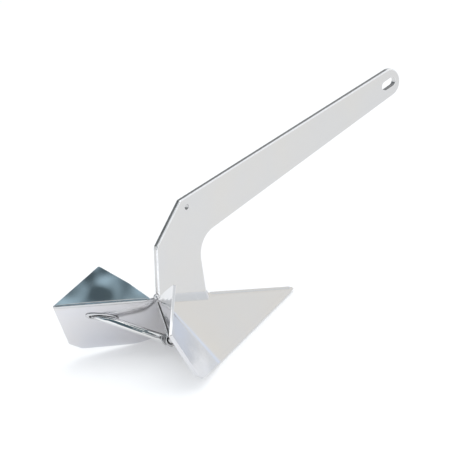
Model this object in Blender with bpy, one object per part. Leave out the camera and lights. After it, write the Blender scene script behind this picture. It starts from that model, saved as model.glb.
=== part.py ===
"""Fixed-shank plough anchor: polished stainless plates, two brace rods and the welds that join them.

Metres, +Z up, +X towards the tip and the shackle eye, +Y to port. The driving points are given with
the tip of the fluke at (0, 0, 0); the last step moves the finished anchor so that it stands on
Z = 0 with its box centred on the origin.
"""

import math

import bmesh
import bpy
from mathutils import Vector

PORT, STARBOARD = 1, -1
SIDES = {"port": PORT, "starboard": STARBOARD}

# Clearance left where two pieces touch.
GAP = 0.0003

# Fluke: corners of the port plates, at the middle of their thickness.
TIP = Vector((0.0, 0.0, 0.0))
RIDGE_END = Vector((-0.296, 0.0, 0.106))
BLADE_CORNER = Vector((-0.273, 0.096, 0.0))
FLARE_TOP = Vector((-0.402, 0.135, 0.110))
FLARE_FOOT = Vector((-0.367, 0.149, 0.018))
TAIL_TOP = Vector((-0.332, 0.087, 0.162))
SHARE_THICKNESS = 0.006
TAIL_THICKNESS = 0.005
FOLD_RUN = 0.013
FOLD_STEPS = 5
FLARE_STEPS = 6
SHARE_COLUMNS = 8
NOSE_CUT = 0.010
FOOT_CUT_REAR = 0.013
FOOT_CUT_BOTTOM = 0.018
TAIL_START = 0.06
TAIL_BULGE = 0.0025
TAIL_BULGE_AT = 0.45
TAIL_CORNER_RADIUS = 0.004
OVERRUN = 0.006

# Shank: a flat plate that stands on the ridge.
SHANK_THICKNESS = 0.009
SHANK_HEEL_X = -0.296
SHANK_TOE_X = -0.192
SHANK_NECK = Vector((-0.2835, 0.0, 0.191))
SHANK_ELBOW = Vector((-0.216, 0.0, 0.2475))
SHANK_CROTCH = Vector((-0.190, 0.0, 0.169))
CROTCH_RADIUS = 0.040
NECK_RADIUS = 0.012
ELBOW_RADIUS = 0.006
EYE_CENTRE = Vector((0.2815, 0.0, 0.256))
EYE_RADIUS = 0.0235
ARC_STEPS = 10

# Holes through the shank.
SLOT_CENTRE = Vector((0.2785, 0.0, 0.2555))
SLOT_LENGTH = 0.032
SLOT_WIDTH = 0.0152
SLOT_TILT = math.radians(6.0)
TRIP_HOLE_CENTRE = Vector((-0.2045, 0.0, 0.2315))
TRIP_HOLE_RADIUS = 0.0047

# Heel gusset under the ridge, and the rods that brace the flares against it.
GUSSET_THICKNESS = 0.008
GUSSET_TOE_X = -0.205
GUSSET_REAR_INSET = 0.010
GUSSET_FOOT_REAR = Vector((-0.007, 0.0, -0.010))
GUSSET_FOOT_FRONT = Vector((0.014, 0.0, -0.010))
GUSSET_NOSE_DEPTH = 0.012
GUSSET_RADII = (0, 0.004, 0.006, 0.004, 0)
ROD_APEX = Vector((-0.284, 0.0, 0.026))
ROD_RADIUS = 0.0067
ROD_ALONG_FLARE = 0.55
ROD_DOWN_FLARE = 0.29
FLARE_CLEARANCE = 0.0008

# Ballast in the toe, closed by a cover below and a bulkhead behind.
BALLAST_FRONT_X = -0.052
COVER_FRONT_X = -0.044
BULKHEAD_X = -0.176
PLATE_THICKNESS = 0.004
COVER_HEIGHT = 0.003
BALLAST_CLEARANCE = 0.0006
BULKHEAD_CLEARANCE = 0.001

# Weld beads.
SHANK_WELD_LEG = 0.008
SHANK_WELD_HEEL_INSET = 0.018
SHANK_WELD_TOE_OVERRUN = 0.002
TOE_WELD_LEG = 0.0064
TOE_WELD_HALF_WIDTH = 0.0029
RIDGE_WELD_LEG = 0.0040
RIDGE_WELD_NOSE_INSET = 0.004
TAIL_WELD_LEG = 0.0042
TAIL_WELD_INSET = 0.03
TAIL_WELD_LIFT = 0.0003
GUSSET_WELD_LEG = 0.005
GUSSET_WELD_HEEL_INSET = 0.022
GUSSET_WELD_TOE_INSET = 0.004
COVER_WELD_LEG = 0.004
COVER_WELD_INSET = 0.004
COLLAR_WIDTH = 0.0026
COLLAR_LENGTH = 0.0036
COLLAR_TOP = 0.25
COLLAR_CROWN = 0.08
HEEL_WELD_OFFSET = Vector((-0.0015, 0.0, -0.0010))
HEEL_WELD_RADII = Vector((0.0050, 0.0056, 0.0052))
HEEL_WELD_LIFT = 0.0006
BEAD_STEPS = 5
ROUND_STEPS = 24


def mirrored(point, side):
    """The point on the port side, or its mirror image to starboard."""
    return Vector((point.x, side * point.y, point.z))


def blend(a, b, amount):
    """The point a given share of the way from a to b."""
    return a + (b - a) * amount


def material(name, colour, roughness, metallic=1.0):
    """A plain Principled material."""
    made = bpy.data.materials.new(name)
    made.use_nodes = True
    shader = made.node_tree.nodes["Principled BSDF"]
    shader.inputs["Base Color"].default_value = (*colour, 1.0)
    shader.inputs["Roughness"].default_value = roughness
    shader.inputs["Metallic"].default_value = metallic
    return made


def add_piece(name, mesh_data, colour, roughness=0.1, smooth_angle=25.0):
    """Turn a closed bmesh into a named object with its own material."""
    bmesh.ops.triangulate(mesh_data, faces=mesh_data.faces[:])
    bmesh.ops.recalc_face_normals(mesh_data, faces=mesh_data.faces[:])
    mesh = bpy.data.meshes.new(name)
    mesh_data.to_mesh(mesh)
    mesh_data.free()
    mesh.shade_smooth()
    mesh.set_sharp_from_angle(angle=math.radians(smooth_angle))
    mesh.materials.append(material(name, colour, roughness))
    piece = bpy.data.objects.new(name, mesh)
    bpy.context.scene.collection.objects.link(piece)
    return piece


def cut_away(mesh_data, point, normal):
    """Remove what lies beyond a plane and close the cut."""
    everything = mesh_data.verts[:] + mesh_data.edges[:] + mesh_data.faces[:]
    bmesh.ops.bisect_plane(mesh_data, geom=everything, plane_co=point, plane_no=normal, clear_outer=True)
    rim = [edge for edge in mesh_data.edges if edge.is_boundary]
    bmesh.ops.holes_fill(mesh_data, edges=rim, sides=0)


def skin(sections):
    """A closed solid through cross-sections that all have the same number of points."""
    made = bmesh.new()
    rings = [[made.verts.new(point) for point in section] for section in sections]
    for ring, following in zip(rings, rings[1:]):
        for index in range(len(ring)):
            after = (index + 1) % len(ring)
            made.faces.new((ring[index], ring[after], following[after], following[index]))
    made.faces.new(rings[0][::-1])
    made.faces.new(rings[-1])
    bmesh.ops.recalc_face_normals(made, faces=made.faces[:])
    return made


def plate(outline, normal, thickness):
    """A flat plate whose outline lies at the middle of its thickness."""
    half = normal.normalized() * (thickness / 2)
    return skin([[point - half for point in outline], [point + half for point in outline]])


def rounded(points, radii, steps=ARC_STEPS):
    """A closed outline with each corner replaced by an arc of its own radius."""
    outline = []
    count = len(points)
    for index, (corner, radius) in enumerate(zip(points, radii)):
        if radius == 0:
            outline.append(corner)
            continue
        back = (points[index - 1] - corner).normalized()
        on = (points[(index + 1) % count] - corner).normalized()
        half_angle = back.angle(on) / 2
        centre = corner + (back + on).normalized() * (radius / math.sin(half_angle))
        tangent = radius / math.tan(half_angle)
        start = corner + back * tangent - centre
        end = corner + on * tangent - centre
        sweep = start.angle(end)
        for step in range(steps + 1):
            share = step / steps
            turned_out = start * math.sin((1 - share) * sweep) + end * math.sin(share * sweep)
            outline.append(centre + turned_out / math.sin(sweep))
    return outline


def slot_outline(centre, length, width, tilt):
    """A round-ended slot in the XZ plane, or a circle where length equals width."""
    radius = width / 2
    reach = (length - width) / 2
    along = Vector((math.cos(tilt), 0, math.sin(tilt)))
    up = Vector((-math.sin(tilt), 0, math.cos(tilt)))
    last = ARC_STEPS if reach else ARC_STEPS - 1
    outline = []
    for end in (1, -1):
        for step in range(last + 1):
            turn = math.pi * step / ARC_STEPS - math.pi / 2
            across = along * (reach + radius * math.cos(turn))
            outline.append(centre + (across + up * (radius * math.sin(turn))) * end)
    return outline


def pierced_plate(outline, holes, thickness):
    """A plate in the XZ plane with holes through it."""
    made = bmesh.new()
    half = Vector((0, thickness / 2, 0))
    for loop in (outline, *holes):
        ring = [made.verts.new(point - half) for point in loop]
        for vertex, following in zip(ring, ring[1:] + ring[:1]):
            made.edges.new((vertex, following))
    bmesh.ops.triangle_fill(made, edges=made.edges[:], use_beauty=True)
    extruded = bmesh.ops.extrude_face_region(made, geom=made.faces[:])["geom"]
    moved = [part for part in extruded if isinstance(part, bmesh.types.BMVert)]
    bmesh.ops.translate(made, verts=moved, vec=half * 2)
    bmesh.ops.recalc_face_normals(made, faces=made.faces[:])
    return made


# Planes and lines that several pieces share.
RIDGE_DIRECTION = (RIDGE_END - TIP).normalized()
BLADE_NORMAL = RIDGE_DIRECTION.cross(BLADE_CORNER - TIP).normalized()
BLADE_NORMAL *= math.copysign(1, BLADE_NORMAL.z)
REAR_DIRECTION = (FLARE_TOP - RIDGE_END).normalized()


def blade_normal(side):
    """Outward normal of a blade's upper face."""
    return mirrored(BLADE_NORMAL, side)


def blade_z(x, y, offset):
    """Height of a plane parallel to the port blade, offset from the middle of its thickness."""
    return (offset - BLADE_NORMAL.x * x - BLADE_NORMAL.y * y) / BLADE_NORMAL.z


def flare_point(along, down, side=PORT):
    """Point at the middle of a flare's thickness: along runs rearwards, down runs towards its foot."""
    upper = blend(RIDGE_END, FLARE_TOP, along)
    lower = blend(BLADE_CORNER, FLARE_FOOT, along)
    return mirrored(blend(upper, lower, down), side)


def flare_normal(along, down, side=PORT):
    """Outward normal of a flare at one of its points."""
    rearwards = flare_point(along + 0.01, down) - flare_point(along - 0.01, down)
    downwards = flare_point(along, down + 0.01) - flare_point(along, down - 0.01)
    normal = rearwards.cross(downwards).normalized()
    return mirrored(normal * math.copysign(1, normal.z), side)


def away_from(line, towards):
    """Unit direction square to a line, on the side of a given vector."""
    direction = line.normalized()
    return (towards - direction * towards.dot(direction)).normalized()


def mitre_normal(side):
    """Normal of the plane in which a tail plate meets a flare, pointing up."""
    up = away_from(REAR_DIRECTION, TAIL_TOP - RIDGE_END)
    down = away_from(REAR_DIRECTION, flare_point(0.6, 0.5) - RIDGE_END)
    return mirrored((up - down).normalized(), side)


def share_rows():
    """Rows across the port share, each from its upper edge to its lower edge."""
    edges = ((TIP, RIDGE_END, FLARE_TOP), (TIP, BLADE_CORNER, FLARE_FOOT))
    rows = [[blend(start, fold, NOSE_CUT) for start, fold, end in edges]]
    for share in (0.25, 0.5, 0.75):
        rows.append([blend(start, fold, share) for start, fold, end in edges])
    for step in range(FOLD_STEPS + 1):
        share = step / FOLD_STEPS
        row = []
        for start, fold, end in edges:
            before = fold + (start - fold).normalized() * FOLD_RUN
            after = fold + (end - fold).normalized() * FOLD_RUN
            row.append(blend(blend(before, fold, share), blend(fold, after, share), share))
        rows.append(row)
    for step in range(1, FLARE_STEPS + 1):
        row = []
        for start, fold, end in edges:
            after = FOLD_RUN / (end - fold).length
            row.append(blend(fold, end, after + (1 - after) * step / FLARE_STEPS))
        rows.append(row)
    return rows


def share_solid(side):
    """One blade with its flare: a bent plate, mitred along the ridge and along the tail."""
    columns = []
    for upper, lower in share_rows():
        overrun = (upper - lower).normalized() * OVERRUN
        points = [upper + overrun]
        points += [blend(upper, lower, step / SHARE_COLUMNS) for step in range(SHARE_COLUMNS + 1)]
        columns.append([mirrored(point, side) for point in points])
    made = bmesh.new()
    grid = [[made.verts.new(point) for point in column] for column in columns]
    for row, following in zip(grid, grid[1:]):
        for index in range(len(row) - 1):
            made.faces.new((row[index], row[index + 1], following[index + 1], following[index]))
    made.normal_update()
    sheets = []
    for offset in (SHARE_THICKNESS / 2, -SHARE_THICKNESS / 2):
        sheets.append([[vertex.co + vertex.normal * offset for vertex in row] for row in grid])
    made.free()
    made = skin([upper + lower[::-1] for upper, lower in zip(*sheets)])
    cut_away(made, Vector((0, side * GAP / 2, 0)), Vector((0, -side, 0)))
    normal = mitre_normal(side)
    cut_away(made, mirrored(RIDGE_END, side) - normal * (GAP / 2), normal)
    foot = mirrored(FLARE_FOOT, side)
    rear_cut = foot + (mirrored(FLARE_TOP, side) - foot).normalized() * FOOT_CUT_REAR
    bottom_cut = foot + (mirrored(BLADE_CORNER, side) - foot).normalized() * FOOT_CUT_BOTTOM
    across = flare_normal(1.0, 0.9, side)
    outwards = (bottom_cut - rear_cut).cross(across).normalized()
    outwards *= math.copysign(1, outwards.dot(foot - rear_cut))
    cut_away(made, rear_cut, outwards)
    return made


def tail_solid(side):
    """Upturned triangular plate along the rear of a share."""
    start = blend(RIDGE_END, FLARE_TOP, TAIL_START)
    below = -away_from(REAR_DIRECTION, TAIL_TOP - RIDGE_END) * OVERRUN
    bulge = away_from(TAIL_TOP - start, start - FLARE_TOP) * TAIL_BULGE
    middle = blend(start, TAIL_TOP, TAIL_BULGE_AT) + bulge
    points = [start + below, start, middle, TAIL_TOP, FLARE_TOP, FLARE_TOP + below]
    outline = rounded(points, (0, 0, 0, TAIL_CORNER_RADIUS, 0, 0), steps=4)
    normal = (TAIL_TOP - start).cross(FLARE_TOP - start)
    made = plate([mirrored(point, side) for point in outline], mirrored(normal, side), TAIL_THICKNESS)
    upwards = mitre_normal(side)
    cut_away(made, mirrored(RIDGE_END, side) + upwards * (GAP / 2), -upwards)
    return made


def ridge_top(x):
    """Point on the crest where the two upper faces meet."""
    return Vector((x, 0, blade_z(x, 0, SHARE_THICKNESS / 2)))


def ridge_under(x):
    """Point on the valley where the two lower faces meet."""
    return Vector((x, 0, blade_z(x, 0, -SHARE_THICKNESS / 2)))


def build_shank():
    """The shank plate, from its seat on the ridge to the shackle eye."""
    lift = Vector((0, 0, GAP))
    heel = ridge_top(SHANK_HEEL_X) + lift
    toe = ridge_top(SHANK_TOE_X) + lift
    top_tangent = tangent_point(SHANK_ELBOW, EYE_CENTRE, EYE_RADIUS, 1)
    low_tangent = tangent_point(SHANK_CROTCH, EYE_CENTRE, EYE_RADIUS, -1)
    head = []
    first = math.atan2(*(top_tangent - EYE_CENTRE).zx)
    last = math.atan2(*(low_tangent - EYE_CENTRE).zx)
    for step in range(1, 2 * ARC_STEPS):
        turn = first + (last - first) * step / (2 * ARC_STEPS)
        head.append(EYE_CENTRE + Vector((math.cos(turn), 0, math.sin(turn))) * EYE_RADIUS)
    points = [heel, SHANK_NECK, SHANK_ELBOW, top_tangent, *head, low_tangent, SHANK_CROTCH, toe]
    radii = [0, NECK_RADIUS, ELBOW_RADIUS, *[0] * (len(head) + 2), CROTCH_RADIUS, 0]
    holes = (
        slot_outline(SLOT_CENTRE, SLOT_LENGTH, SLOT_WIDTH, SLOT_TILT),
        slot_outline(TRIP_HOLE_CENTRE, 2 * TRIP_HOLE_RADIUS, 2 * TRIP_HOLE_RADIUS, 0),
    )
    add_piece("shank", pierced_plate(rounded(points, radii), holes, SHANK_THICKNESS), (0.78, 0.78, 0.77))


def tangent_point(outside, centre, radius, side):
    """Where a line from a point touches a circle in the XZ plane, above it (1) or below it (-1)."""
    towards = outside - centre
    direction = math.atan2(towards.z, towards.x)
    spread = math.acos(radius / towards.length)
    turn = direction - side * spread
    return centre + Vector((math.cos(turn), 0, math.sin(turn))) * radius


def build_fluke():
    """Both shares and both tail plates."""
    for name, side in SIDES.items():
        add_piece(f"{name}_share", share_solid(side), (0.74, 0.74, 0.75), smooth_angle=18)
        add_piece(f"{name}_tail_plate", tail_solid(side), (0.62, 0.66, 0.68))


def gusset_outline():
    """Corners of the heel gusset in the XZ plane."""
    drop = Vector((0, 0, -1)) * (GUSSET_THICKNESS / 2 * BLADE_NORMAL.y / BLADE_NORMAL.z + 2 * GAP)
    top_rear = ridge_under(RIDGE_END.x + GUSSET_REAR_INSET) + drop
    top_front = ridge_under(GUSSET_TOE_X) + drop
    nose = top_front + Vector((0, 0, -GUSSET_NOSE_DEPTH))
    return [top_rear, ROD_APEX + GUSSET_FOOT_REAR, ROD_APEX + GUSSET_FOOT_FRONT, nose, top_front]


def build_gusset():
    """The web under the ridge that ties the rods to the foot of the shank."""
    outline = rounded(gusset_outline(), GUSSET_RADII, steps=3)
    add_piece("heel_gusset", plate(outline, Vector((0, 1, 0)), GUSSET_THICKNESS), (0.6, 0.6, 0.61))


def rod_end(side):
    """Where a rod's axis meets the lower face of its flare, and that face's normal."""
    normal = flare_normal(ROD_ALONG_FLARE, ROD_DOWN_FLARE, side)
    middle = flare_point(ROD_ALONG_FLARE, ROD_DOWN_FLARE, side)
    return middle - normal * (SHARE_THICKNESS / 2), normal


def ring_on_plane(start, axis, radius, point, normal):
    """A round section about an axis, slanted to lie in a plane."""
    across = axis.orthogonal().normalized()
    other = axis.cross(across).normalized()
    ring = []
    for step in range(ROUND_STEPS):
        turn = 2 * math.pi * step / ROUND_STEPS
        foot = start + (across * math.cos(turn) + other * math.sin(turn)) * radius
        reach = (point - foot).dot(normal) / axis.dot(normal)
        ring.append(foot + axis * reach)
    return ring


def collar(start, axis, point, normal, away):
    """A fillet weld round a rod where it meets a plane; away is 1 or -1 along the rod's axis."""
    bore = ring_on_plane(start, axis, ROD_RADIUS + GAP, point, normal)
    centre = sum(bore, Vector()) / ROUND_STEPS
    made = bmesh.new()
    sections = []
    for index, foot in enumerate(bore):
        tangent = bore[(index + 1) % ROUND_STEPS] - bore[index - 1]
        outwards = tangent.cross(normal).normalized()
        outwards *= math.copysign(1, outwards.dot(foot - centre))
        radial = away_from(axis, foot - centre)
        toe = foot + outwards * COLLAR_WIDTH
        top = foot + axis * (away * COLLAR_LENGTH)
        shoulder = top + radial * (COLLAR_TOP * COLLAR_WIDTH)
        middle = blend(toe, shoulder, 0.5) + (outwards + radial) * (COLLAR_CROWN * COLLAR_WIDTH)
        sections.append([made.verts.new(place) for place in (foot, toe, middle, shoulder, top)])
    for section, following in zip(sections, sections[1:] + sections[:1]):
        for index in range(len(section)):
            after = (index + 1) % len(section)
            made.faces.new((section[index], section[after], following[after], following[index]))
    bmesh.ops.recalc_face_normals(made, faces=made.faces[:])
    return made


def build_rods():
    """Both brace rods, each with a fillet weld on the flare and one on the gusset."""
    colour = (0.7, 0.71, 0.74)
    for name, side in SIDES.items():
        end, normal = rod_end(side)
        axis = (end - ROD_APEX).normalized()
        seat = end - normal * FLARE_CLEARANCE
        outwards = Vector((0, side, 0))
        cheek = outwards * (GUSSET_THICKNESS / 2 + GAP)
        sections = [
            ring_on_plane(ROD_APEX, axis, ROD_RADIUS, cheek, outwards),
            ring_on_plane(ROD_APEX, axis, ROD_RADIUS, seat, normal),
        ]
        add_piece(f"{name}_brace_rod", skin(sections), (0.8, 0.81, 0.83))
        add_piece(f"{name}_flare_rod_weld", collar(ROD_APEX, axis, seat, normal, -1), colour)
        add_piece(f"{name}_heel_rod_weld", collar(ROD_APEX, axis, cheek, outwards, 1), colour)


def bead(start, end, leg_a, leg_b, normal_a, normal_b, size, crown=0.25):
    """A weld bead along a line in the corner between two faces, or over the edge where they meet."""
    normal_a, normal_b = normal_a.normalized(), normal_b.normalized()
    spread = 1 + normal_a.dot(normal_b)
    corner = (normal_a + normal_b) * (GAP / spread)
    upwards = (normal_a + normal_b).normalized()
    length = (end - start).length
    along = (end - start).normalized()
    run_in = min(size * 0.6, length * 0.25)
    places = [0.0]
    places += [run_in + (length - 2 * run_in) * step / BEAD_STEPS for step in range(BEAD_STEPS + 1)]
    places += [length]
    sections = []
    for place in places:
        middle = start + along * place
        grown = 0.55 if place in (0.0, length) else 1.0
        root = middle + corner
        foot_a = root + leg_a * size * grown
        foot_b = root + leg_b * size * grown
        edge = size * 0.14 * grown
        shoulder_a = foot_a + normal_a * edge
        shoulder_b = foot_b + normal_b * edge
        peak = (shoulder_a + shoulder_b) / 2
        base = max((root - peak).dot(upwards), 0)
        top = peak + upwards * (2 * (base + crown * size * grown))
        section = [root, foot_a, shoulder_a]
        for turn in (0.25, 0.5, 0.75):
            section.append(blend(blend(shoulder_a, top, turn), blend(top, shoulder_b, turn), turn))
        section += [shoulder_b, foot_b]
        sections.append(section)
    return skin(sections)


def build_welds():
    """Straight beads: along the ridge, at the shank's foot, behind the tail plates and under the ridge."""
    colour = (0.74, 0.75, 0.77)
    down = {name: away_from(RIDGE_DIRECTION, mirrored(BLADE_CORNER, side)) for name, side in SIDES.items()}
    ridge_start = ridge_top(NOSE_CUT * RIDGE_END.x - RIDGE_WELD_NOSE_INSET)
    ridge_stop = ridge_top(SHANK_TOE_X + SHANK_WELD_LEG + SHANK_WELD_TOE_OVERRUN)
    ridge = bead(ridge_start, ridge_stop, down["port"], down["starboard"],
                 blade_normal(PORT), blade_normal(STARBOARD), RIDGE_WELD_LEG)
    add_piece("ridge_weld", ridge, colour)

    toe = ridge_top(SHANK_TOE_X)
    ahead = -RIDGE_DIRECTION
    above = away_from(RIDGE_DIRECTION, Vector((0, 0, 1)))
    half = Vector((0, TOE_WELD_HALF_WIDTH, 0))
    rise = (SHANK_CROTCH - toe).normalized()
    front_face = Vector((rise.z, 0, -rise.x))
    front = bead(toe - half, toe + half, ahead, rise, above, front_face, TOE_WELD_LEG, crown=0.0)
    add_piece("shank_toe_weld", front, colour)

    for name, side in SIDES.items():
        normal = blade_normal(side)
        cheek = side * SHANK_THICKNESS / 2
        outwards = Vector((0, side, 0))
        ends = []
        for x in (SHANK_HEEL_X + SHANK_WELD_HEEL_INSET, SHANK_TOE_X + SHANK_WELD_TOE_OVERRUN):
            ends.append(Vector((x, cheek, blade_z(x, abs(cheek), SHARE_THICKNESS / 2))))
        up = away_from(RIDGE_DIRECTION, Vector((0, 0, 1)))
        foot = bead(*ends, up, down[name], outwards, normal, SHANK_WELD_LEG, crown=0.02)
        add_piece(f"{name}_shank_weld", foot, colour)

        tail = bead(*tail_weld_ends(side), *tail_weld_faces(side), TAIL_WELD_LEG, crown=0.2)
        add_piece(f"{name}_tail_weld", tail, colour)

        web = side * GUSSET_THICKNESS / 2
        ends = []
        for x in (RIDGE_END.x + GUSSET_WELD_HEEL_INSET, GUSSET_TOE_X - GUSSET_WELD_TOE_INSET):
            ends.append(Vector((x, web, blade_z(x, abs(web), -SHARE_THICKNESS / 2))))
        lower = -normal
        below = away_from(RIDGE_DIRECTION, Vector((0, 0, -1)))
        under = bead(*ends, below, down[name], outwards, lower, GUSSET_WELD_LEG, crown=0.05)
        add_piece(f"{name}_gusset_weld", under, colour)

    build_heel_weld(colour)


def tail_weld_faces(side):
    """Legs and normals for the bead over the rear edge where a tail plate meets a flare."""
    up = away_from(REAR_DIRECTION, TAIL_TOP - RIDGE_END)
    down = away_from(REAR_DIRECTION, flare_point(0.6, 0.5) - RIDGE_END)
    rearwards = -(up + down).normalized()
    face_up = away_from(up, rearwards - REAR_DIRECTION * rearwards.dot(REAR_DIRECTION))
    face_down = away_from(down, rearwards - REAR_DIRECTION * rearwards.dot(REAR_DIRECTION))
    return [mirrored(vector, side) for vector in (up, down, face_up, face_down)]


def tail_weld_ends(side):
    """Ends of the line on which that bead lies."""
    up, down, face_up, face_down = tail_weld_faces(PORT)
    spread = 1 + face_up.dot(face_down)
    edge = (face_up + face_down) * ((SHARE_THICKNESS / 2 + TAIL_WELD_LIFT) / spread)
    first = blend(RIDGE_END, FLARE_TOP, TAIL_START + TAIL_WELD_INSET) + edge
    last = blend(RIDGE_END, FLARE_TOP, 0.985) + edge
    return [mirrored(first, side), mirrored(last, side)]


def build_heel_weld(colour):
    """The lump of weld behind the foot of the shank, on the shares' upper edges."""
    crest = ridge_top(SHANK_HEEL_X)
    made = bmesh.new()
    bmesh.ops.create_icosphere(made, subdivisions=3, radius=1.0)
    for vertex in made.verts:
        vertex.co = crest + HEEL_WELD_OFFSET + Vector(a * b for a, b in zip(vertex.co, HEEL_WELD_RADII))
    cut_away(made, crest + Vector((-GAP, 0, 0)), Vector((1, 0, 0)))
    cut_away(made, RIDGE_END + Vector((0, 0, HEEL_WELD_LIFT)), Vector((0, 0, -1)))
    add_piece("shank_heel_weld", made, colour)


def inner_half_width(x, z, clearance=0.0):
    """Half the room between the blades' lower faces at a place along the toe."""
    offset = -SHARE_THICKNESS / 2 - clearance
    return (offset - BLADE_NORMAL.x * x - BLADE_NORMAL.z * z) / BLADE_NORMAL.y


def build_toe():
    """Ballast block, its cover plate and the bulkhead behind it."""
    cover_top = COVER_HEIGHT + PLATE_THICKNESS
    levels = []
    for z in (COVER_HEIGHT, cover_top):
        corners = []
        for x in (BULKHEAD_X, COVER_FRONT_X):
            half = inner_half_width(x, z, GAP)
            corners += [Vector((x, half, z)), Vector((x, -half, z))]
        levels.append([corners[0], corners[1], corners[3], corners[2]])
    add_piece("ballast_cover", skin(levels), (0.62, 0.62, 0.63))

    floor = cover_top + GAP
    faces = []
    for x in (BULKHEAD_X, BULKHEAD_X - PLATE_THICKNESS):
        half = inner_half_width(BULKHEAD_X, COVER_HEIGHT, GAP) - BULKHEAD_CLEARANCE
        crest = blade_z(BULKHEAD_X, 0, -SHARE_THICKNESS / 2 - GAP) - BULKHEAD_CLEARANCE
        x -= GAP
        corners = ((half, COVER_HEIGHT), (0, crest), (-half, COVER_HEIGHT))
        faces.append([Vector((x, *corner)) for corner in corners])
    add_piece("ballast_bulkhead", skin(faces), (0.62, 0.62, 0.63))

    sections = []
    for x in (BULKHEAD_X + 2 * GAP, BALLAST_FRONT_X):
        half = inner_half_width(x, floor, BALLAST_CLEARANCE)
        crest = blade_z(x, 0, -SHARE_THICKNESS / 2 - BALLAST_CLEARANCE)
        sections.append([Vector((x, *corner)) for corner in ((half, floor), (0, crest), (-half, floor))])
    add_piece("toe_ballast", skin(sections), (0.25, 0.26, 0.28), roughness=0.6)

    for name, side in SIDES.items():
        ends = []
        for x in (BULKHEAD_X + COVER_WELD_INSET, BALLAST_FRONT_X + COVER_WELD_INSET):
            half = side * (inner_half_width(x, COVER_HEIGHT, 0))
            ends.append(Vector((x, half, COVER_HEIGHT)))
        run = ends[1] - ends[0]
        inwards = away_from(run, Vector((0, -side, 0)))
        lower = -blade_normal(side)
        down = away_from(run, mirrored(BLADE_CORNER, side) - ends[0])
        down = away_from(run, down - lower * down.dot(lower))
        weld = bead(*ends, inwards, down, Vector((0, 0, -1)), lower, COVER_WELD_LEG, crown=0.0)
        add_piece(f"{name}_cover_weld", weld, (0.7, 0.71, 0.72))


def stand_on_origin():
    """Move the anchor so that its box stands on Z = 0, centred on the origin."""
    bpy.context.view_layer.update()
    graph = bpy.context.evaluated_depsgraph_get()
    low = Vector((math.inf,) * 3)
    high = -low
    pieces = [piece for piece in bpy.context.scene.objects if piece.type == "MESH"]
    for piece in pieces:
        for vertex in piece.evaluated_get(graph).data.vertices:
            for axis in range(3):
                low[axis] = min(low[axis], vertex.co[axis])
                high[axis] = max(high[axis], vertex.co[axis])
    middle = (low + high) / 2
    for piece in pieces:
        piece.location = Vector((-middle.x, 0, -low.z))


def main():
    for leftover in list(bpy.data.objects):
        bpy.data.objects.remove(leftover)
    build_shank()
    build_fluke()
    build_gusset()
    build_rods()
    build_welds()
    build_toe()
    stand_on_origin()


main()
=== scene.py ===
"""Looks for the plough anchor: bevelled polished plate, rods and welds in a pale studio.

Metres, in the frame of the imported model: +X towards the tip, +Y to port, +Z up, floor at Z = 0.
"""

import math

import bmesh
import bpy
from mathutils import Matrix, Vector


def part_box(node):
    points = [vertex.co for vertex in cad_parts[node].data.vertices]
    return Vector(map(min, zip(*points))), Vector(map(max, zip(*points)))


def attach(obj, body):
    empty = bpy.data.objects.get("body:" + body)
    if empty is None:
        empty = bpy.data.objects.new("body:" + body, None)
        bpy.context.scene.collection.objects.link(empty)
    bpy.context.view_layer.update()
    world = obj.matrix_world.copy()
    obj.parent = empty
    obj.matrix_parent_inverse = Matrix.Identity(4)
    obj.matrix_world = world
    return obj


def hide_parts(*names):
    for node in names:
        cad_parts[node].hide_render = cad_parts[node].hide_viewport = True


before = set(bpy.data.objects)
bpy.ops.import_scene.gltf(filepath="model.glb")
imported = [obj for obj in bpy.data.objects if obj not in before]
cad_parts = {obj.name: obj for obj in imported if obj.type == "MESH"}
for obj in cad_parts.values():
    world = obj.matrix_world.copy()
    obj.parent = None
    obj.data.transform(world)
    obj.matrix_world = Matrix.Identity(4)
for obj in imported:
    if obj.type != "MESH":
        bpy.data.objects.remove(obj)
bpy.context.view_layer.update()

# Camera: a long lens from astern, to starboard and above, rolled against the floor.
CAMERA_RIGHT = Vector((0.69164, -0.70603, -0.15220))
CAMERA_UP = Vector((0.37414, 0.16999, 0.91166))
CAMERA_DISTANCE = 20.0
FRAME_WIDTH = 0.7391
TIP_RIGHT_OF_CENTRE = 0.1102
TIP_BELOW_CENTRE = 0.1031
SENSOR_WIDTH = 36.0

SIDES = {"port": 1, "starboard": -1}

# Weld beads: spacing and least number of sections, points across, lift off the plates, and ripples.
WELD_STEP = 0.0009
FEWEST_SECTIONS = 12
WELD_POINTS = 8
SEAT_LIFT = 0.00005
RIPPLE_HEIGHT = 0.00012
RIPPLE_PITCH = 0.0026
RIPPLE_CURVE = 0.35
END_SIZE = 0.03
FILLET_HOLLOW = 0.3
SHANK_WELD_LEG = 0.0075
GUSSET_WELD_LEG = 0.0048
COVER_WELD_LEG = 0.0038
RIDGE_WELD_WIDTH = 0.0040
RIDGE_WELD_HEIGHT = 0.0007

# About the way that the port share's upper face looks.
BLADE_NORMAL = Vector((0.24, 0.69, 0.68))

# Rounding of edges: radii, how many steps, and how far an edge turns, in degrees, to be rounded.
SHANK_ROUND = 0.0020
OPENING_ROUND = 0.0010
SHARE_ROUND = 0.0009
TAIL_ROUND = 0.0008
UNDER_ROUND = 0.0006
BALLAST_ROUND = 0.0010
ROUND_STEPS = 3
SHANK_ROUND_STEPS = 4
ROUNDED_ANGLE = 24.0
SUBDIVISIONS = 2
MERGE_DISTANCE = 0.00002

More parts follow.
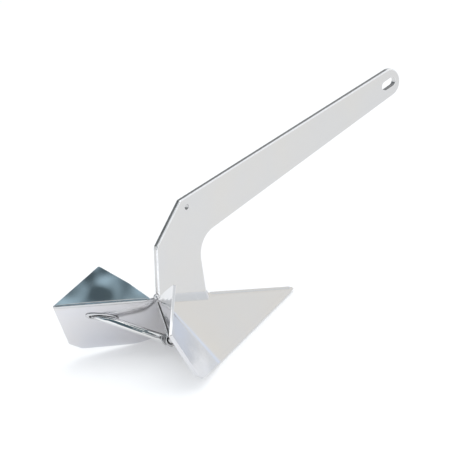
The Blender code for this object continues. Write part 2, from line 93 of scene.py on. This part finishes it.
# Steels. The two shares are given slightly different tints, for the three-quarter view only: painted light,
# the port share lighter and bluer and the starboard share darker.
SHANK_TINT = (0.648, 0.638, 0.630)
SHARE_TINTS_WITH_PAINTED_LIGHT = {"port": (0.745, 0.74, 0.765), "starboard": (0.68, 0.675, 0.685)}
TAIL_TINT = (0.70, 0.70, 0.71)
UNDER_TINT = (0.62, 0.62, 0.62)
# The rods are tinted lighter than the plates to stand in for the bright floor they mirror: painted light.
ROD_TINT_WITH_PAINTED_LIGHT = (0.84, 0.84, 0.845)
WELD_TINT = (0.65, 0.65, 0.66)
BALLAST_TINT = (0.25, 0.26, 0.28)
PLATE_ROUGHNESS = 0.15
TAIL_ROUGHNESS = 0.07
UNDER_ROUGHNESS = 0.22
ROD_ROUGHNESS = 0.04
WELD_ROUGHNESS = 0.18
BALLAST_ROUGHNESS = 0.6

# How wavy the faces are, and the height of the polish marks.
PLATE_WAVE = 0.0006
TAIL_WAVE = 0.0036
ROD_WAVE = 0.00008
MARK_HEIGHT = 0.000004

# Scales of the noise in the steel, per metre, and the stretch of the polish marks.
DRIFT_SCALE = 9.0
WAVE_SCALE = 14.0
BLOTCH_SCALE = 32.0
HEAT_SCALE = 120.0
SCUFF_SCALE = 420.0
MARK_STRETCH = (900.0, 40.0, 900.0)

# Finish beside the welds and along the edges; the edges are painted nearly white, partly scuffing and partly
# a painted highlight.
HEAT_REACH = 0.011
HEAT_STRENGTH = 0.22
HEAT_COLOUR = (0.62, 0.52, 0.40)
WORN_AND_HIGHLIGHT_COLOUR = (0.96, 0.96, 0.97)

# Stage.
FLOOR_SIZE = 120.0
FLOOR_COLOUR = (0.80, 0.80, 0.80)
FLOOR_GLOW = 0.24
WORLD_COLOUR = (0.94, 0.97, 1.0)
WORLD_STRENGTH = 0.95
ANCHOR_MIDDLE = Vector((-0.05, 0.0, 0.12))


def direction(azimuth, elevation):
    """Unit vector at an azimuth from +X and an elevation, both in degrees."""
    turn = math.radians(azimuth)
    rise = math.radians(elevation)
    return Vector((math.cos(turn) * math.cos(rise), math.sin(turn) * math.cos(rise), math.sin(rise)))


def link(piece):
    """Put an object in the scene."""
    bpy.context.scene.collection.objects.link(piece)
    return piece


def facing(location, target):
    """A matrix at a location whose -Z looks at a target."""
    back = (location - target).normalized()
    return Matrix.Translation(location) @ back.to_track_quat("Z", "Y").to_matrix().to_4x4()


# ---- Camera and stage ----


def make_camera():
    """The camera at the anchor's three-quarter rear view."""
    right = CAMERA_RIGHT.normalized()
    up = (CAMERA_UP - right * CAMERA_UP.dot(right)).normalized()
    back = right.cross(up)
    tip = Vector((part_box("port_share")[1].x + 0.002, 0.0, 0.002))
    target = tip - right * TIP_RIGHT_OF_CENTRE + up * TIP_BELOW_CENTRE
    data = bpy.data.cameras.new("camera")
    data.sensor_width = SENSOR_WIDTH
    data.lens = SENSOR_WIDTH * CAMERA_DISTANCE / FRAME_WIDTH
    data.clip_end = 200.0
    camera = link(bpy.data.objects.new("camera", data))
    turned = Matrix((right, up, back)).transposed().to_4x4()
    camera.matrix_world = Matrix.Translation(target + back * CAMERA_DISTANCE) @ turned
    bpy.context.scene.camera = camera


def plane_mesh(name, width, height):
    """A rectangle in the XY plane, facing +Z."""
    mesh = bpy.data.meshes.new(name)
    half = (width / 2, height / 2)
    corners = [(-half[0], -half[1], 0), (half[0], -half[1], 0), (half[0], half[1], 0), (-half[0], half[1], 0)]
    mesh.from_pydata(corners, [], [(0, 1, 2, 3)])
    return mesh


def make_floor():
    """A pale matt floor with a faint glow of its own."""
    floor = link(bpy.data.objects.new("floor", plane_mesh("floor", FLOOR_SIZE, FLOOR_SIZE)))
    material = bpy.data.materials.new("pale_floor")
    material.use_nodes = True
    shader = material.node_tree.nodes["Principled BSDF"]
    shader.inputs["Base Color"].default_value = (*FLOOR_COLOUR, 1.0)
    shader.inputs["Roughness"].default_value = 0.9
    shader.inputs["Specular IOR Level"].default_value = 0.1
    shader.inputs["Emission Color"].default_value = (1.0, 1.0, 1.0, 1.0)
    shader.inputs["Emission Strength"].default_value = FLOOR_GLOW
    floor.data.materials.append(material)


def make_world():
    """Even pale light from all round."""
    world = bpy.data.worlds.new("studio")
    world.use_nodes = True
    background = world.node_tree.nodes["Background"]
    background.inputs["Color"].default_value = (*WORLD_COLOUR, 1.0)
    background.inputs["Strength"].default_value = WORLD_STRENGTH
    bpy.context.scene.world = world


def softbox(name, azimuth, elevation, distance, size, watts, colour):
    """A large square lamp that looks at the anchor."""
    data = bpy.data.lights.new(name, "AREA")
    data.shape = "SQUARE"
    data.size = size
    data.energy = watts
    data.color = colour
    lamp = link(bpy.data.objects.new(name, data))
    lamp.matrix_world = facing(ANCHOR_MIDDLE + direction(azimuth, elevation) * distance, ANCHOR_MIDDLE)
    lamp.visible_camera = False
    return lamp


def hide_from_all_but_mirrors(panel):
    """Keep a panel's glow and shadow off the floor and out of the picture."""
    panel.visible_camera = False
    panel.visible_diffuse = False
    panel.visible_shadow = False


def panel_with_nodes(name, azimuth, elevation, distance, width, height):
    """The nodes, the links and the output node of a new panel that faces the anchor."""
    panel = link(bpy.data.objects.new(name, plane_mesh(name, width, height)))
    panel.matrix_world = facing(ANCHOR_MIDDLE + direction(azimuth, elevation) * distance, ANCHOR_MIDDLE)
    material = bpy.data.materials.new(name)
    material.use_nodes = True
    material.node_tree.nodes.clear()
    panel.data.materials.append(material)
    hide_from_all_but_mirrors(panel)
    nodes = material.node_tree.nodes
    return nodes, material.node_tree.links, nodes.new("ShaderNodeOutputMaterial")


def card(name, azimuth, elevation, distance, width, height, left, right):
    """A glowing panel for the steel to mirror; the anchor sees one colour at its left, one at its right."""
    nodes, links, output = panel_with_nodes(name, azimuth, elevation, distance, width, height)
    place = nodes.new("ShaderNodeTexCoord")
    across = nodes.new("ShaderNodeSeparateXYZ")
    links.new(place.outputs["Generated"], across.inputs[0])
    ramp = nodes.new("ShaderNodeValToRGB")
    ramp.color_ramp.elements[0].color = (*right, 1.0)
    ramp.color_ramp.elements[1].color = (*left, 1.0)
    links.new(across.outputs["X"], ramp.inputs["Fac"])
    glow = nodes.new("ShaderNodeEmission")
    links.new(ramp.outputs["Color"], glow.inputs["Color"])
    links.new(glow.outputs[0], output.inputs["Surface"])


def soft_lamp(name, azimuth, elevation, distance, width, height, colour):
    """An oval glowing panel that fades out to its edge, for the steel to mirror."""
    nodes, links, output = panel_with_nodes(name, azimuth, elevation, distance, width, height)
    place = nodes.new("ShaderNodeTexCoord")
    centred = nodes.new("ShaderNodeMapping")
    centred.inputs["Location"].default_value = (-1.0, -1.0, 0.0)
    centred.inputs["Scale"].default_value = (2.0, 2.0, 0.0)
    links.new(place.outputs["Generated"], centred.inputs["Vector"])
    round_fade = nodes.new("ShaderNodeTexGradient")
    round_fade.gradient_type = "SPHERICAL"
    links.new(centred.outputs["Vector"], round_fade.inputs["Vector"])
    clear = nodes.new("ShaderNodeBsdfTransparent")
    glow = nodes.new("ShaderNodeEmission")
    glow.inputs["Color"].default_value = (*colour, 1.0)
    mix = nodes.new("ShaderNodeMixShader")
    links.new(round_fade.outputs["Fac"], mix.inputs["Fac"])
    links.new(clear.outputs[0], mix.inputs[1])
    links.new(glow.outputs[0], mix.inputs[2])
    links.new(mix.outputs[0], output.inputs["Surface"])


def make_stage():
    """Floor, even light, three lamps, and the panels that only the steel mirrors."""
    make_floor()
    make_world()
    softbox(
        "key_softbox", azimuth=-92, elevation=56, distance=2.4, size=1.9, watts=7,
        colour=(1.0, 0.965, 0.92),
    )
    softbox(
        "top_softbox", azimuth=60, elevation=78, distance=2.6, size=1.0, watts=3.5,
        colour=(1.0, 0.98, 0.96),
    )
    low_fill = softbox(
        "low_fill", azimuth=-150, elevation=14, distance=1.6, size=0.9, watts=6.5,
        colour=(0.86, 0.92, 1.0),
    )
    low_fill.visible_glossy = False
    card(
        "camera_side_card", azimuth=-146, elevation=25, distance=1.8, width=1.5, height=2.2,
        left=(0.10, 0.145, 0.165), right=(0.085, 0.12, 0.14),
    )
    soft_lamp(
        "side_lamp", azimuth=-158.5, elevation=31, distance=1.7, width=0.56, height=0.50,
        colour=(0.95, 1.3, 1.5),
    )
    card(
        "far_side_card", azimuth=82, elevation=36, distance=2.2, width=3.4, height=1.3,
        left=(0.07, 0.09, 0.10), right=(0.34, 0.35, 0.36),
    )
    card(
        "bow_card", azimuth=-8, elevation=26, distance=2.0, width=1.5, height=0.9,
        left=(1.0, 0.99, 0.95), right=(1.0, 0.99, 0.95),
    )
    card(
        "bow_low_card", azimuth=6, elevation=8, distance=1.5, width=0.45, height=0.25,
        left=(0.95, 1.04, 1.20), right=(0.95, 1.04, 1.20),
    )


# ---- Materials ----


def noise(nodes, links, vector, scale, detail):
    """The value of a noise texture on a vector socket."""
    texture = nodes.new("ShaderNodeTexNoise")
    texture.inputs["Scale"].default_value = scale
    texture.inputs["Detail"].default_value = detail
    links.new(vector, texture.inputs["Vector"])
    return texture.outputs["Fac"]


def remapped(nodes, links, value, span, low, high, smooth=False):
    """A value moved from a span to the range between low and high, and kept inside it."""
    change = nodes.new("ShaderNodeMapRange")
    change.interpolation_type = "SMOOTHSTEP" if smooth else "LINEAR"
    change.inputs["From Min"].default_value = span[0]
    change.inputs["From Max"].default_value = span[1]
    change.inputs["To Min"].default_value = low
    change.inputs["To Max"].default_value = high
    links.new(value, change.inputs["Value"])
    return change.outputs["Result"]


def arithmetic(nodes, links, operation, first, second):
    """The result of one operation on two sockets, or on a socket and a number."""
    node = nodes.new("ShaderNodeMath")
    node.operation = operation
    for socket, value in zip(node.inputs, (first, second)):
        if isinstance(value, float):
            socket.default_value = value
        else:
            links.new(value, socket)
    return node.outputs[0]


def vector_step(nodes, links, operation, first, second=None, scale=None):
    """One vector operation; a Vector is set as a constant and a socket is linked."""
    node = nodes.new("ShaderNodeVectorMath")
    node.operation = operation
    for socket, value in zip(node.inputs, (first, second)):
        if isinstance(value, Vector):
            socket.default_value = value
        elif value is not None:
            links.new(value, socket)
    if scale is not None:
        links.new(scale, node.inputs["Scale"])
    return node.outputs["Value"] if operation in ("DOT_PRODUCT", "LENGTH") else node.outputs["Vector"]


def near_seams(nodes, links, place, seams):
    """A mask that is 1 on weld seams and fades to 0 at HEAT_REACH from them."""
    mask = None
    for start, end in seams:
        along = (end - start).normalized()
        offset = vector_step(nodes, links, "SUBTRACT", place, start)
        run = vector_step(nodes, links, "DOT_PRODUCT", offset, along)
        run = arithmetic(nodes, links, "MAXIMUM", run, 0.0)
        run = arithmetic(nodes, links, "MINIMUM", run, (end - start).length)
        nearest = vector_step(nodes, links, "SCALE", along, scale=run)
        gap = vector_step(nodes, links, "SUBTRACT", offset, nearest)
        distance = vector_step(nodes, links, "LENGTH", gap)
        here = remapped(nodes, links, distance, (0.0, HEAT_REACH), 1.0, 0.0, smooth=True)
        mask = here if mask is None else arithmetic(nodes, links, "MAXIMUM", mask, here)
    return mask


def tinted(nodes, links, amount, under, over):
    """A colour socket mixed towards a fixed colour by an amount."""
    mix = nodes.new("ShaderNodeMix")
    mix.data_type = "RGBA"
    links.new(amount, mix.inputs["Factor"])
    links.new(under, mix.inputs["A"])
    mix.inputs["B"].default_value = (*over, 1.0)
    return mix.outputs["Result"]


def steel(name, tint, roughness, wave=PLATE_WAVE, seams=()):
    """Polished stainless steel.

    Slow colour drift, polish marks, a slightly wavy face, scuffed edges painted nearly white as a painted
    highlight, and a trace of heat colour and grinding beside the welds.
    """
    material = bpy.data.materials.new(name)
    material.use_nodes = True
    nodes = material.node_tree.nodes
    links = material.node_tree.links
    shader = nodes["Principled BSDF"]
    shader.inputs["Metallic"].default_value = 1.0
    place = nodes.new("ShaderNodeTexCoord").outputs["Object"]

    colour = nodes.new("ShaderNodeValToRGB")
    colour.color_ramp.elements[0].position = 0.35
    colour.color_ramp.elements[1].position = 0.65
    colour.color_ramp.elements[0].color = (tint[0] * 0.975, tint[1] * 0.985, tint[2], 1.0)
    colour.color_ramp.elements[1].color = (tint[0], tint[1] * 0.993, tint[2] * 0.975, 1.0)
    links.new(noise(nodes, links, place, DRIFT_SCALE, 3.0), colour.inputs["Fac"])
    surface = colour.outputs["Color"]

    stretch = nodes.new("ShaderNodeMapping")
    stretch.inputs["Scale"].default_value = MARK_STRETCH
    links.new(place, stretch.inputs["Vector"])
    marks = noise(nodes, links, stretch.outputs["Vector"], 1.0, 4.0)
    rough = remapped(nodes, links, marks, (0.3, 0.7), roughness * 0.75, roughness * 1.3)
    blotches = noise(nodes, links, place, BLOTCH_SCALE, 2.0)
    haze = remapped(nodes, links, blotches, (0.45, 0.75), 0.0, roughness * 0.5)
    rough = arithmetic(nodes, links, "ADD", rough, haze)

    # Rounded edges: scuffed and a little rougher, and painted nearly white as a painted highlight.
    rubbed_and_lit_faces = nodes.new("ShaderNodeAttribute")
    rubbed_and_lit_faces.attribute_name = "edge_wear_and_highlight"
    scuffs = noise(nodes, links, place, SCUFF_SCALE, 2.0)
    scuffs = remapped(nodes, links, scuffs, (0.35, 0.6), 0.75, 1.0)
    rub_and_highlight = arithmetic(nodes, links, "MULTIPLY", rubbed_and_lit_faces.outputs["Fac"], scuffs)
    surface = tinted(nodes, links, arithmetic(nodes, links, "MULTIPLY", rub_and_highlight, 0.9), surface, WORN_AND_HIGHLIGHT_COLOUR)
    rough = arithmetic(nodes, links, "ADD", rough, arithmetic(nodes, links, "MULTIPLY", rub_and_highlight, 0.06))

    if seams:
        heat = near_seams(nodes, links, place, seams)
        broken = noise(nodes, links, place, HEAT_SCALE, 3.0)
        broken = remapped(nodes, links, broken, (0.3, 0.7), 0.35, 1.0)
        heat = arithmetic(nodes, links, "MULTIPLY", heat, broken)
        straw = arithmetic(nodes, links, "MULTIPLY", heat, HEAT_STRENGTH)
        surface = tinted(nodes, links, straw, surface, HEAT_COLOUR)
        rough = arithmetic(nodes, links, "ADD", rough, arithmetic(nodes, links, "MULTIPLY", heat, 0.08))

    links.new(surface, shader.inputs["Base Color"])
    links.new(rough, shader.inputs["Roughness"])

    wavy = nodes.new("ShaderNodeBump")
    wavy.inputs["Strength"].default_value = 1.0
    wavy.inputs["Distance"].default_value = wave
    links.new(noise(nodes, links, place, WAVE_SCALE, 1.0), wavy.inputs["Height"])
    fine = nodes.new("ShaderNodeBump")
    fine.inputs["Strength"].default_value = 0.25
    fine.inputs["Distance"].default_value = MARK_HEIGHT
    links.new(marks, fine.inputs["Height"])
    links.new(wavy.outputs["Normal"], fine.inputs["Normal"])
    links.new(fine.outputs["Normal"], shader.inputs["Normal"])
    return material


# ---- Pieces ----


def clean_mesh(node, flat_angle=0.5):
    """A cleaned bmesh copy of a CAD node's mesh; faces within an angle of each other become one."""
    made = bmesh.new()
    made.from_mesh(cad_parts[node].data)
    bmesh.ops.remove_doubles(made, verts=made.verts[:], dist=MERGE_DISTANCE)
    angle = math.radians(flat_angle)
    bmesh.ops.dissolve_limit(made, angle_limit=angle, verts=made.verts[:], edges=made.edges[:])
    return made


def piece_from(made, name):
    """A smooth-shaded object from a bmesh, which it frees."""
    mesh = bpy.data.meshes.new(name)
    made.to_mesh(mesh)
    made.free()
    mesh.shade_smooth()
    return link(bpy.data.objects.new(name, mesh))


def finish_piece(piece, node, material):
    """Material, CAD body and replaced node of a piece."""
    piece.data.materials.clear()
    piece.data.materials.append(material)
    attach(piece, "root")
    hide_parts(node)


def sharp_edges(made, angle):
    """The edges of a mesh that turn by more than an angle in degrees."""
    return [edge for edge in made.edges if edge.calc_face_angle(0.0) > math.radians(angle)]


def crease_edges(made, angle):
    """Keep the edges that turn by more than an angle in degrees sharp under subdivision."""
    crease = made.edges.layers.float.new("crease_edge")
    for edge in sharp_edges(made, angle):
        edge[crease] = 1.0


def outline_walls(made):
    """The faces of the wall that runs right round a flat upright plate, without those of its openings."""
    walls = {face for face in made.faces if abs(face.normal.y) < 0.5}
    found = {min(walls, key=lambda face: face.calc_center_median().x)}
    growing = list(found)
    while growing:
        face = growing.pop()
        beside = {other for edge in face.edges for other in edge.link_faces} & walls - found
        found |= beside
        growing.extend(beside)
    return found


def paint(faces, layer, colour):
    """Set one colour on every corner of some faces."""
    for face in faces:
        for loop in face.loops:
            loop[layer] = colour


def round_edges(made, edges, width, segments):
    """Round some edges, and mark the rounded faces for the scuffed edge colour, which is partly a painted
    highlight.
    """
    rounded = bmesh.ops.bevel(
        made, geom=edges, offset=width, offset_type="OFFSET", segments=segments, profile=0.5,
        affect="EDGES", clamp_overlap=True, miter_outer="ARC", miter_inner="SHARP",
    )
    layers = made.loops.layers.float_color
    rubbed_and_lit_faces = layers.get("edge_wear_and_highlight")
    if rubbed_and_lit_faces is None:
        rubbed_and_lit_faces = layers.new("edge_wear_and_highlight")
        paint(made.faces, rubbed_and_lit_faces, (0.0, 0.0, 0.0, 1.0))
    paint(rounded["faces"], rubbed_and_lit_faces, (1.0, 1.0, 1.0, 1.0))


def ease(made, width):
    """Round a mesh's edges as a polisher's wheel leaves them."""
    round_edges(made, sharp_edges(made, ROUNDED_ANGLE), width, ROUND_STEPS)


def ease_shank(made):
    """Round the outline of the shank more than the edges of its openings."""
    walls = outline_walls(made)
    edges = sharp_edges(made, ROUNDED_ANGLE)
    outline = [edge for edge in edges if walls & set(edge.link_faces)]
    openings = [edge for edge in edges if not walls & set(edge.link_faces)]
    round_edges(made, openings, OPENING_ROUND, SHANK_ROUND_STEPS)
    round_edges(made, outline, SHANK_ROUND, SHANK_ROUND_STEPS)


def even_normals(piece):
    """Keep wide faces flat-looking beside their rounded edges."""
    weighted = piece.modifiers.new("even_faces", "WEIGHTED_NORMAL")
    weighted.mode = "FACE_AREA"
    weighted.weight = 50


def face_plane(node, hint):
    """A point on, and the normal of, the widest flat face of a CAD node that looks about along a hint."""
    found = {}
    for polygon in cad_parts[node].data.polygons:
        if polygon.normal.angle(hint.normalized()) < math.radians(12):
            key = tuple(round(value, 2) for value in polygon.normal)
            area, _, _ = found.get(key, (0.0, None, None))
            found[key] = (area + polygon.area, polygon.center.copy(), polygon.normal.copy())
    _, point, normal = max(found.values(), key=lambda row: row[0])
    return point, normal


def corner_line(plane_a, plane_b, node):
    """The stretch of two planes' common line that a CAD weld covers, end to end."""
    (point_a, normal_a), (point_b, normal_b) = plane_a, plane_b
    along = normal_a.cross(normal_b).normalized()
    rows = Matrix((normal_a, normal_b, along))
    middle = (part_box(node)[0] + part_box(node)[1]) / 2
    values = Vector((normal_a.dot(point_a), normal_b.dot(point_b), along.dot(middle)))
    origin = rows.inverted() @ values
    reach = [(vertex.co - origin).dot(along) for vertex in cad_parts[node].data.vertices]
    return origin + along * min(reach), origin + along * max(reach)


def swept(name, sections):
    """A smooth closed piece through cross-sections with the same number of points."""
    made = bmesh.new()
    rings = [[made.verts.new(point) for point in section] for section in sections]
    for ring, following in zip(rings, rings[1:]):
        for index in range(len(ring)):
            after = (index + 1) % len(ring)
            made.faces.new((ring[index], ring[after], following[after], following[index]))
    made.faces.new(rings[0][::-1])
    made.faces.new(rings[-1])
    bmesh.ops.recalc_face_normals(made, faces=made.faces[:])
    piece = piece_from(made, name)
    piece.data.set_sharp_from_angle(angle=math.radians(50))
    return piece


def ripple(distance, across, pitch):
    """Height of the ripples that a weld pool leaves, from 0 to 1, curved back towards the bead's edges."""
    phase = distance / pitch + RIPPLE_CURVE * across * across
    return 0.5 + 0.5 * math.cos(2 * math.pi * phase)


def bead_distances(length):
    """How far from its start each section of a bead lies."""
    stations = max(FEWEST_SECTIONS, round(length / WELD_STEP))
    return [length * station / stations for station in range(stations + 1)]


def taper(distance, length, run):
    """From nearly 0 at the ends of a bead to 1 a run in from them, rounded off."""
    inside = min(distance, length - distance) / run
    return math.sin(min(max(inside, END_SIZE), 1.0) * math.pi / 2)


def fillet_weld(node, plane_a, plane_b, size):
    """A hollow fillet in the corner between two plates, with its edges fading into them."""
    start, end = corner_line(plane_a, plane_b, node)
    normal_a, normal_b = plane_a[1], plane_b[1]
    along = (end - start).normalized()
    leg_a = (normal_b - normal_a * normal_b.dot(normal_a)).normalized()
    leg_b = (normal_a - normal_b * normal_a.dot(normal_b)).normalized()
    length = (end - start).length
    sections = []
    for distance in bead_distances(length):
        reach = size * taper(distance, length, size)
        root = start + along * distance + (normal_a + normal_b) * SEAT_LIFT
        toe_a = root + leg_a * reach
        toe_b = root + leg_b * reach
        control = root + (leg_a + leg_b) * reach * FILLET_HOLLOW
        section = [root]
        for step in range(WELD_POINTS + 1):
            share = step / WELD_POINTS
            place = toe_a * (1 - share) ** 2 + control * 2 * share * (1 - share) + toe_b * share ** 2
            swell = RIPPLE_HEIGHT * math.sin(math.pi * share) * ripple(distance, 2 * share - 1, RIPPLE_PITCH)
            section.append(place + (leg_a + leg_b).normalized() * swell)
        sections.append(section)
    return swept(f"{node}_dressed", sections)


def cap_weld(node, plane_a, plane_b, size, height):
    """A low bead, dressed smooth, over the edge where two plates meet."""
    start, end = corner_line(plane_a, plane_b, node)
    normal_a, normal_b = plane_a[1], plane_b[1]
    along = (end - start).normalized()
    down_a = (normal_a * normal_a.dot(normal_b) - normal_b).normalized()
    down_b = (normal_b * normal_a.dot(normal_b) - normal_a).normalized()
    upwards = (normal_a + normal_b).normalized()
    length = (end - start).length
    sections = []
    for distance in bead_distances(length):
        grown = taper(distance, length, size)
        crest = start + along * distance
        section = []
        for step in range(-WELD_POINTS, WELD_POINTS + 1):
            share = step / WELD_POINTS
            down, normal = (down_a, normal_a) if share < 0 else (down_b, normal_b)
            side = abs(share)
            outwards = normal.lerp(upwards, (1 - side) ** 2).normalized()
            lift = SEAT_LIFT + height * grown * (1 - share * share)
            swell = RIPPLE_HEIGHT * (1 - share * share) * ripple(distance, share, RIPPLE_PITCH)
            section.append(crest + down * (size * grown * side) + outwards * (lift + swell * grown))
        section.append(crest + upwards * SEAT_LIFT * 0.5)
        sections.append(section)
    return swept(f"{node}_dressed", sections)


def smoothed(node, crease_angle=70.0):
    """A subdivided copy of a CAD weld or rod, with its sharp edges kept."""
    made = clean_mesh(node, 0.05)
    crease_edges(made, crease_angle)
    piece = piece_from(made, f"{node}_dressed")
    surface = piece.modifiers.new("smooth_pool", "SUBSURF")
    surface.levels = SUBDIVISIONS
    surface.render_levels = SUBDIVISIONS
    return piece


def refined_share(node):
    """The bmesh of a share, with its fold and twisted flare drawn as one smooth surface."""
    made = clean_mesh(node, 0.001)
    bmesh.ops.join_triangles(
        made, faces=made.faces[:], angle_face_threshold=math.radians(6),
        angle_shape_threshold=math.radians(120),
    )
    crease_edges(made, 30.0)
    piece = piece_from(made, f"{node}_refined")
    surface = piece.modifiers.new("smooth_fold", "SUBSURF")
    surface.levels = SUBDIVISIONS
    bpy.context.view_layer.update()
    shaped = piece.evaluated_get(bpy.context.evaluated_depsgraph_get())
    finer = bmesh.new()
    finer.from_mesh(shaped.to_mesh())
    shaped.to_mesh_clear()
    bpy.data.objects.remove(piece)
    return finer


def seam_of(node):
    """The two ends of a straight, slender CAD piece."""
    points = [vertex.co.copy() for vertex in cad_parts[node].data.vertices]
    start = max(points, key=lambda point: (point - points[0]).length)
    end = max(points, key=lambda point: (point - start).length)
    return start, end


def finish_plate(node, made, material):
    """Turn the rounded bmesh of a plate, or of the ballast, into its finished piece."""
    piece = piece_from(made, f"{node}_dressed")
    even_normals(piece)
    finish_piece(piece, node, material)


def make_shank():
    """The shank."""
    foot_seams = [seam_of(f"{side}_shank_weld") for side in SIDES]
    shank = steel("polished_shank", SHANK_TINT, PLATE_ROUGHNESS, seams=foot_seams)
    made = clean_mesh("shank")
    ease_shank(made)
    finish_plate("shank", made, shank)


def make_shares():
    """The shares and their tail plates."""
    # Each share's tint carries painted light: the port share lighter and bluer, the starboard share darker.
    for side, tint in SHARE_TINTS_WITH_PAINTED_LIGHT.items():
        tail_seam = seam_of(f"{side}_tail_weld")
        seams = [seam_of(f"{side}_shank_weld"), tail_seam, seam_of("ridge_weld")]
        made = refined_share(f"{side}_share")
        ease(made, SHARE_ROUND)
        share = steel(f"polished_{side}_share", tint, PLATE_ROUGHNESS, seams=seams)
        finish_plate(f"{side}_share", made, share)
        made = clean_mesh(f"{side}_tail_plate")
        ease(made, TAIL_ROUND)
        tail = steel(
            f"polished_{side}_tail", TAIL_TINT, TAIL_ROUGHNESS, wave=TAIL_WAVE, seams=[tail_seam],
        )
        finish_plate(f"{side}_tail_plate", made, tail)


def make_underside():
    """The gusset, and the cover and bulkhead of the ballast."""
    under = steel("underside_plate", UNDER_TINT, UNDER_ROUGHNESS)
    for node in ("heel_gusset", "ballast_cover", "ballast_bulkhead"):
        made = clean_mesh(node)
        ease(made, UNDER_ROUND)
        finish_plate(node, made, under)


def make_rods():
    """Brace rods."""
    # The rod tint is lighter than the plates': painted light for the bright floor the rods mirror.
    rod = steel("polished_rod", ROD_TINT_WITH_PAINTED_LIGHT, ROD_ROUGHNESS, wave=ROD_WAVE)
    for side in SIDES:
        node = f"{side}_brace_rod"
        finish_piece(smoothed(node, crease_angle=50.0), node, rod)


def make_welds():
    """Every weld bead."""
    weld = steel("weld_bead", WELD_TINT, WELD_ROUGHNESS)
    made = {}
    tops = {}
    for side, sign in SIDES.items():
        outwards = Vector((BLADE_NORMAL.x, BLADE_NORMAL.y * sign, BLADE_NORMAL.z))
        tops[side] = face_plane(f"{side}_share", outwards)
        under = face_plane(f"{side}_share", -outwards)
        cheek = face_plane("shank", Vector((0, sign, 0)))
        web = face_plane("heel_gusset", Vector((0, sign, 0)))
        base = face_plane("ballast_cover", Vector((0, 0, -1)))
        for name, plane_a, plane_b, size in (
            ("shank_weld", cheek, tops[side], SHANK_WELD_LEG),
            ("gusset_weld", web, under, GUSSET_WELD_LEG),
            ("cover_weld", base, under, COVER_WELD_LEG),
        ):
            made[f"{side}_{name}"] = fillet_weld(f"{side}_{name}", plane_a, plane_b, size)
        for name in ("tail_weld", "flare_rod_weld", "heel_rod_weld"):
            made[f"{side}_{name}"] = smoothed(f"{side}_{name}")
    made["ridge_weld"] = cap_weld(
        "ridge_weld", tops["port"], tops["starboard"], RIDGE_WELD_WIDTH, RIDGE_WELD_HEIGHT,
    )
    for name in ("shank_toe_weld", "shank_heel_weld"):
        made[name] = smoothed(name)
    for node, piece in made.items():
        finish_piece(piece, node, weld)


def make_ballast():
    """The cast ballast, out of sight in the toe."""
    made = clean_mesh("toe_ballast")
    ease(made, BALLAST_ROUND)
    ballast = steel("ballast", BALLAST_TINT, BALLAST_ROUGHNESS)
    finish_plate("toe_ballast", made, ballast)


make_camera()
make_stage()
make_shank()
make_shares()
make_underside()
make_rods()
make_welds()
make_ballast()
bpy.context.scene.view_settings.view_transform = "Standard"

bpy.context.view_layer.update()
